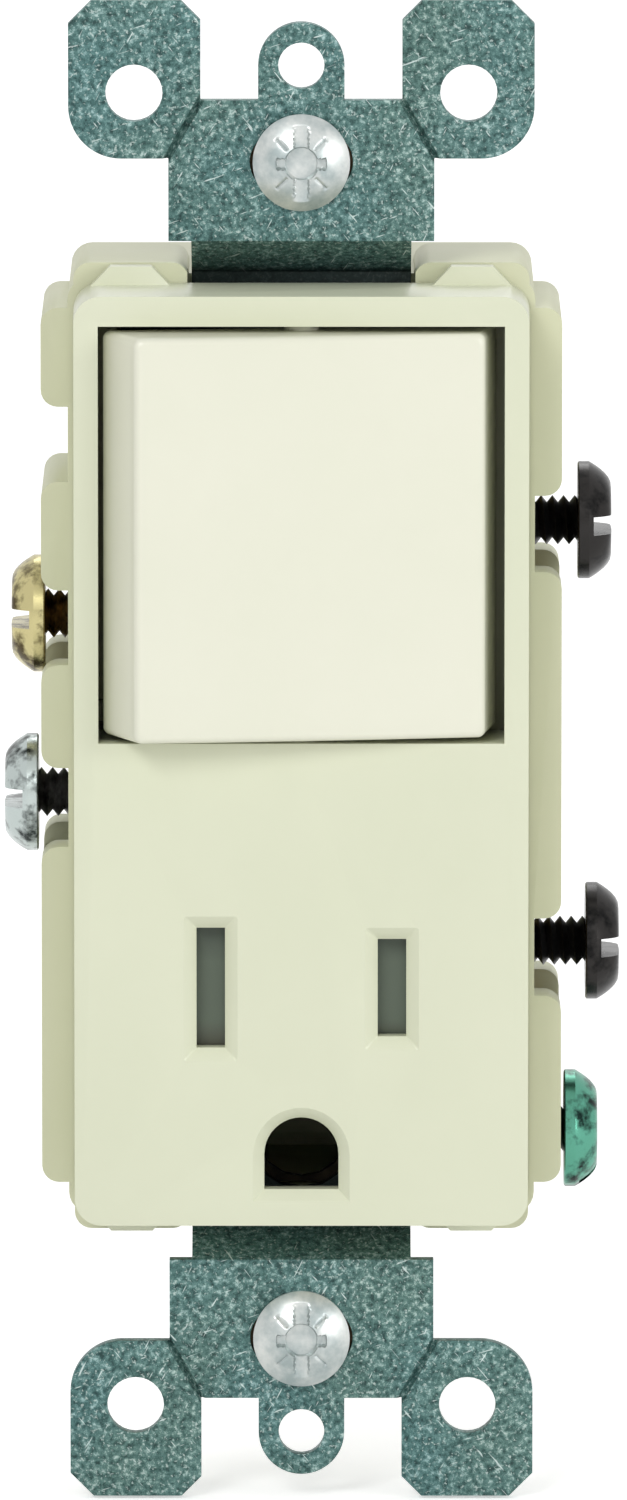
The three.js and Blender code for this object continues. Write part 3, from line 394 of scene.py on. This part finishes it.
rocker_joint = {joint["name"]: joint for joint in frame["joints"]}["rocker_tilt"]
rocker_pivot = np.array(rocker_joint["pos_m"])
rocker_lean = math.radians(8)
pin_length = 1.45 * mm
pin_radius = 1.2 * mm
rocker_low, rocker_high = (corner.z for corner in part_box("rocker"))
paddle_half = (rocker_high - rocker_low) / 2 - pin_length
face_y, base_y = -4.9 * mm, 0.8 * mm
face_half, base_half = 12.4 * mm, 13.86 * mm
paddle_wall, edge_radius, paddle_corner, crown = 1.5 * mm, 0.5 * mm, 0.55 * mm, 0.25 * mm


def paddle_shell():
    """Rings that run out over the face, round its edge, down the sloped sides to the base rim,
    and back up inside; the crown drops with the square of the distance from the middle."""
    rings = [rounded_ring(share * (face_half - edge_radius), share * (paddle_half - edge_radius),
                          share * paddle_corner, face_y) for share in np.linspace(0.08, 1, 12)]
    rings += [rounded_ring(face_half - edge_radius * (1 - math.sin(a)),
                           paddle_half - edge_radius * (1 - math.sin(a)), paddle_corner,
                           face_y + edge_radius * (1 - math.cos(a)))
              for a in np.linspace(0, np.pi / 2, 8)[1:]]
    rings += [rounded_ring(face_half + share * (base_half - face_half), paddle_half, paddle_corner,
                           face_y + edge_radius + share * (base_y - face_y - edge_radius))
              for share in np.linspace(0, 1, 8)[1:]]
    inner_corner = 0.2 * mm
    rings += [rounded_ring(base_half - paddle_wall, paddle_half - paddle_wall, inner_corner, base_y),
              rounded_ring(face_half - paddle_wall, paddle_half - paddle_wall, inner_corner,
                           face_y + paddle_wall)]
    rings = np.array(rings)
    drop = np.clip((base_y - rings[..., 1]) / (base_y - face_y), 0, 1)
    rings[..., 1] += crown * drop * (rings[..., 0] / face_half) ** 2
    return skin(rings)


def turned_skin(profile, axis, at, steps=32):
    """A profile of (radius, distance) pairs turned about a line along X, Y or Z."""
    profile = np.array(profile)
    angle = np.linspace(0, 2 * np.pi, steps, endpoint=False)
    radius, along = profile[:, :1], np.repeat(profile[:, 1:], steps, axis=1)
    across, up = radius * np.cos(angle), radius * np.sin(angle)
    order = {"x": (along, across, up), "y": (across, along, up), "z": (across, up, along)}[axis]
    return skin(np.stack(order, axis=-1) + np.array(at))


def leaned(part):
    """A part of the rocker turned by its lean about the pivot."""
    points, faces = part
    c, s = math.cos(rocker_lean), math.sin(rocker_lean)
    turned = points @ np.array([[c, s, 0], [-s, c, 0], [0, 0, 1]])
    return turned + np.array([0, rocker_pivot[1], (rocker_low + rocker_high) / 2]), faces


post_radius, post_end, bore_radius = 2.7 * mm, 7.0 * mm, 1.8 * mm
paddle_floor = face_y + paddle_wall
round_off = 0.15 * mm
post = turned_skin([(bore_radius, paddle_floor), (post_radius, paddle_floor - 0.4 * mm),
                    (post_radius, post_end - round_off), (post_radius - round_off, post_end),
                    (bore_radius, post_end), (bore_radius, paddle_floor + 0.1 * mm)], "y", (0, 0, 0))
pins = [turned_skin([(pin_radius, sign * (paddle_half - paddle_wall)),
                     (pin_radius, sign * (paddle_half + pin_length - round_off)),
                     (pin_radius - round_off, sign * (paddle_half + pin_length))], "z", (0, 0, 0))
        for sign in (1, -1)]
rocker_almond = moulded_plastic("rocker_moulding", (0.80, 0.80, 0.665), (0.785, 0.79, 0.65), 0.30, 0.12)
surface_piece("rocker_paddle", [leaned(part) for part in (paddle_shell(), post, *pins)],
              [rocker_almond], "rocker", "rocker")


# ---- Terminal screws ------------------------------------------------------------------------
# Five binding-head screws stand in the sides, each backed out a few turns. They are headed and
# rolled from wire: brass, nickel-plated, two blackened for the feed, and one dyed green.
def helical_thread(radius, depth, pitch, tip, top, steps=28):
    """A screw thread: the radius falls by the thread's depth away from a crest that climbs one
    pitch a turn. Rows follow the crest, and those past the tip or the top lie on that end."""
    angle = np.linspace(0, 2 * np.pi, steps, endpoint=False)
    rows = np.arange(-1, (top - tip) / pitch + 1, 0.125)[:, None]
    flank = np.abs(2 * np.mod(rows, 1) - 1)
    climb = tip + (rows + angle / (2 * np.pi)) * pitch
    along = np.clip(climb, tip, top)
    reach = np.where(climb == along, radius - depth * flank, radius - depth)
    return along, reach * np.cos(angle), reach * np.sin(angle)


def slotted_head(radius, height, rim, slot_half, slot_floor, steps=40):
    """A slotted head: lines across the slot at set distances, doubled where its walls stand, and
    each line's points spread along its chord. The height is that of the domed cone, or the
    slot's floor where that is lower; the rim then goes down to the flat underside."""
    wall = np.array([-slot_half, -slot_half, slot_half, slot_half])
    outer = radius * np.sin(np.linspace(0.12, 1, 14) * np.pi / 2)
    outer = outer[outer > slot_half * 1.05]
    lines = np.concatenate([-outer[::-1], wall, outer])
    in_slot = np.zeros(len(lines), bool)
    in_slot[len(outer) + 1:len(outer) + 3] = True
    share = np.sin(np.linspace(-1, 1, steps) * np.pi / 2)
    across = np.repeat(lines[:, None], steps, axis=1)
    chord = share * np.sqrt(np.maximum(radius ** 2 - across ** 2, 0))
    out = np.hypot(across, chord) / radius
    flat = 0.62
    slope = np.clip((out - flat) / (1 - flat), 0, 1)
    top = height - 0.05 * height * out ** 2 - (height * 0.95 - rim) * slope ** 1.8
    top = np.where(in_slot[:, None], np.minimum(top, slot_floor), top)
    grid = np.stack([top, chord, across], axis=-1)
    index = np.arange(grid.shape[0] * steps).reshape(grid.shape[0], steps)
    quads = np.stack([index[:-1, :-1], index[1:, :-1], index[1:, 1:], index[:-1, 1:]], axis=-1)
    border = np.concatenate([index[:, 0], index[-1, 1:], index[-2::-1, -1], index[0, -2:0:-1]])
    edge = grid.reshape(-1, 3)[border]
    skirt = np.array([edge * (0, 1, 1) + (rim * drop, 0, 0) for drop in (0.55, 0.12)]
                     + [edge * (0, inset, inset) for inset in (0.97, 0.35)])
    rows = np.arange(skirt.shape[0] * len(border)).reshape(skirt.shape[0], -1) + index.size
    walk = np.vstack([border, rows])
    after = np.roll(walk, -1, axis=1)
    sides = np.stack([walk[:-1], walk[1:], after[1:], after[:-1]], axis=-1).reshape(-1, 4)
    middle = index.size + skirt.shape[0] * len(border)
    closing = np.stack([walk[-1], np.full(len(border), middle), after[-1]], axis=-1)
    points = np.vstack([grid.reshape(-1, 3), skirt.reshape(-1, 3), [[0, 0, 0]]])
    return points, quads.reshape(-1, 4).tolist() + sides.tolist() + closing.tolist()


def plated(name, colour, dark, roughness, metallic=0.9, scale=900, stained=(0.35, 0.6)):
    """Plated or stamped metal: a stained colour and uneven polish."""
    material, tree, shader = new_material(name, colour, roughness, metallic)
    stain = pattern(tree, "ShaderNodeTexNoise", scale, Detail=4.0, Roughness=0.6)
    stained_colour = ramp(tree, stain, [(stained[0], dark), (stained[1], colour)])
    tree.links.new(stained_colour, shader.inputs["Base Color"])
    tree.links.new(spread(tree, stain, roughness + 0.12, roughness - 0.05), shader.inputs["Roughness"])
    bump(tree, shader, stain, 0.00001, 0.3)
    return material


head_height, head_radius, shank_length = 2.4 * mm, 4.15 * mm, 6.3 * mm
thread_radius, thread_pitch = 1.75 * mm, 0.79 * mm
thread_depth, thread_overlap = 0.5 * mm, 0.1 * mm
# Painted shade: each screw's thread is painted as a darker copy of its head's plating.
screw_finishes = {
    "terminal_screw_brass": ("brass_plating", (0.56, 0.50, 0.25), (0.07, 0.05, 0.015),
                             (0.20, 0.12, 0.035), (0.02, 0.012, 0.004), 0.0),
    "terminal_screw_silver": ("nickel_plating", (0.50, 0.56, 0.545), (0.035, 0.045, 0.043),
                              (0.10, 0.10, 0.095), (0.010, 0.010, 0.010), 0.0),
    "terminal_screw_black_upper": ("black_oxide", (0.030, 0.028, 0.027), (0.006, 0.006, 0.006),
                                   (0.018, 0.018, 0.018), (0.004, 0.004, 0.004), 0.0),
    "terminal_screw_black_lower": ("black_oxide_lower", (0.030, 0.028, 0.027), (0.006, 0.006, 0.006),
                                   (0.018, 0.018, 0.018), (0.004, 0.004, 0.004), 0.0),
    "terminal_screw_ground": ("green_dye", (0.11, 0.36, 0.26), (0.004, 0.018, 0.014),
                              (0.02, 0.06, 0.045), (0.004, 0.010, 0.008), 1.25),
}
node_bodies = {node: body for body, nodes in frame["record"]["behaviour"]["bodies"].items()
               for node in nodes}


def standing(points, side, under, centre, turn):
    """A screw drawn along +X set in place: turned about its own axis, then facing its own side."""
    c, s = math.cos(turn), math.sin(turn)
    along, y, z = points[..., 0], points[..., 1], points[..., 2]
    return np.stack([side * (under + along), centre.y + c * y - s * z,
                     centre.z + s * y + c * z], axis=-1)


for node, (finish, colour, stain, shaded_thread_colour, shaded_thread_stain, turn) in screw_finishes.items():
    low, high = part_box(node)
    centre = (low + high) / 2
    side = 1 if centre.x > 0 else -1
    under = max(abs(low.x), abs(high.x)) - head_height
    head_points, head_faces = slotted_head(head_radius, head_height, 0.8 * mm, 0.65 * mm, 1.1 * mm)
    thread = np.stack(helical_thread(thread_radius, thread_depth, thread_pitch, -shank_length,
                                     thread_overlap), axis=-1)
    thread_points, thread_faces = skin(standing(thread, side, under, centre, turn))
    surface_piece("binding_" + node, [(standing(head_points, side, under, centre, turn), head_faces),
                                      (thread_points, thread_faces)],
                  [plated(finish, colour, stain, 0.22, 0.85, 620, (0.38, 0.54)),
                   plated(finish + "_thread", shaded_thread_colour, shaded_thread_stain, 0.35, 0.7, 900)],
                  node, node_bodies[node], 28)


# ---- Mounting screws ------------------------------------------------------------------------
# Two oval-head steel screws stand in the strap's slots, pale from their zinc plate. The head is
# pressed with one long slot, a cross with short wings, and a tick between each pair of arms.
def pressed_head(radius, height, rim, steps=112, rows=64):
    """An oval head as rings of growing radius. The dome's height falls with a power of the
    radius. The slot, wings and centre bring it down to level floors inside their outlines, over
    a narrow edge, and the ticks are shallow dips."""
    angle = np.linspace(0, 2 * np.pi, steps, endpoint=False)
    out = (radius * np.linspace(0.02, 1, rows))[:, None]
    x, z = out * np.cos(angle), out * np.sin(angle)
    dome = height - (height - rim) * (out / radius) ** 2.2 + np.zeros_like(x)
    fade = 0.07 * mm

    def inside(distance):
        return np.clip(0.5 - distance / fade, 0, 1)

    def box_distance(half_x, half_z):
        return np.maximum(np.abs(x) - half_x, np.abs(z) - half_z)

    def sunk(share, floor):
        return share * np.maximum(dome - floor, 0)

    slot = sunk(inside(box_distance(0.5 * mm, 2 * radius)), 0.95 * mm)
    wings = sunk(inside(box_distance(1.75 * mm, 0.36 * mm)), 0.85 * mm)
    centre = sunk(inside(np.hypot(x, z) - 1.15 * mm), 0.7 * mm)
    tick = np.minimum(np.abs(x - z), np.abs(x + z)) / math.sqrt(2) - 0.09 * mm
    ticks = inside(np.maximum(tick, np.abs(out - 1.95 * mm) - 0.55 * mm + np.zeros_like(x))) * 0.12 * mm
    top = dome - np.maximum.reduce([slot, wings, centre, ticks])
    rings = [np.stack([x[k], top[k], z[k]], axis=-1) for k in range(rows)]
    rings += [np.stack([inset * x[-1], np.zeros(steps), inset * z[-1]], axis=-1)
              for inset in (0.99, 0.4)]
    return np.array(rings)


strap_head_radius, strap_head_height = 3.4 * mm, 1.7 * mm
zinc_head = plated("bright_zinc", (0.66, 0.68, 0.66), (0.36, 0.42, 0.42), 0.32, 0.7, 500, (0.35, 0.65))
# Painted shade: the thread is painted as a darker copy of the head's zinc.
shaded_thread = plated("zinc_thread_shaded", (0.36, 0.38, 0.37), (0.10, 0.12, 0.12), 0.35, 0.8)
for place in ("upper", "lower"):
    node = "mounting_screw_" + place
    low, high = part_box(node)
    centre_z = (low.z + high.z) / 2
    front = low.y
    under = front + strap_head_height
    head = pressed_head(strap_head_radius, strap_head_height, 0.45 * mm)
    head[..., 1] = under - head[..., 1]
    head[..., 2] += centre_z
    along, across, up = helical_thread(thread_radius, thread_depth, thread_pitch,
                                       -(high.y - under), thread_overlap)
    thread = np.stack([across, under - along, up + centre_z], axis=-1)
    surface_piece("oval_" + node, [skin(head), skin(thread)], [zinc_head, shaded_thread], node,
                  node_bodies[node], 40)


# ---- Hidden and small pieces that keep their solids -----------------------------------------
# The springs, contacts, terminals, shutter, washers and centre screw keep their own solids and
# take the finish of their material. The ground contact is painted near black, as the shade inside the ground hole.
def shutter_nylon(middle):
    """Grey-green nylon with painted shade towards both ends of the blade slots, and browner at the lower end."""
    nylon = (0.105, 0.135, 0.10)
    material, tree, shader = new_material("shutter_nylon", nylon, 0.4)
    # Painted shade: the shutter is painted darker towards both ends of the blade slots.
    ends = spread(tree, from_plane(tree, 2, middle), 0.0, 0.6, 2.2 * mm, 4.3 * mm)
    lower = spread(tree, from_plane(tree, 2, middle - 4.5 * mm), 0.7, 0.0, 0.5 * mm, 2.6 * mm)
    shaded = mix_colour(tree, ends, nylon, (0.035, 0.05, 0.038))
    browned = mix_colour(tree, lower, shaded, (0.075, 0.062, 0.04))
    tree.links.new(browned, shader.inputs["Base Color"])
    return material


slot_middle = -16.6 * mm
finishes = {
    "spring_steel": plated("drawn_wire", (0.6, 0.6, 0.58), (0.4, 0.4, 0.39), 0.25),
    "acetal": moulded_plastic("natural_acetal", (0.78, 0.77, 0.7), (0.75, 0.74, 0.67), 0.4),
    "shutter_plastic": shutter_nylon(slot_middle),
    "copper_alloy": plated("copper_alloy", (0.7, 0.42, 0.25), (0.5, 0.28, 0.16), 0.3),
    "contact_silver": plated("contact_silver", (0.8, 0.8, 0.78), (0.6, 0.6, 0.58), 0.25),
    "brass_strip": plated("brass_strip", (0.76, 0.6, 0.3), (0.6, 0.44, 0.2), 0.3),
    "nickel_strip": plated("nickel_strip", (0.68, 0.68, 0.65), (0.5, 0.5, 0.48), 0.3),
    "fibre": moulded_plastic("fibre_board", (0.45, 0.31, 0.19), (0.36, 0.24, 0.14), 0.8),
}
# Painted shade: the ground contact deep in the ground hole is painted near black.
contact_painted_shade = plated("brass_painted_shade", (0.035, 0.026, 0.012), (0.008, 0.006, 0.003), 0.5, 0.6)
for part in frame["record"]["subparts"]:
    finish = contact_painted_shade if part["node"] == "ground_contact" else finishes.get(part["material_slot"])
    node = frame["nodes"][part["node"]]
    if finish and not node.hide_render:
        node.data.materials.clear()
        node.data.materials.append(finish)
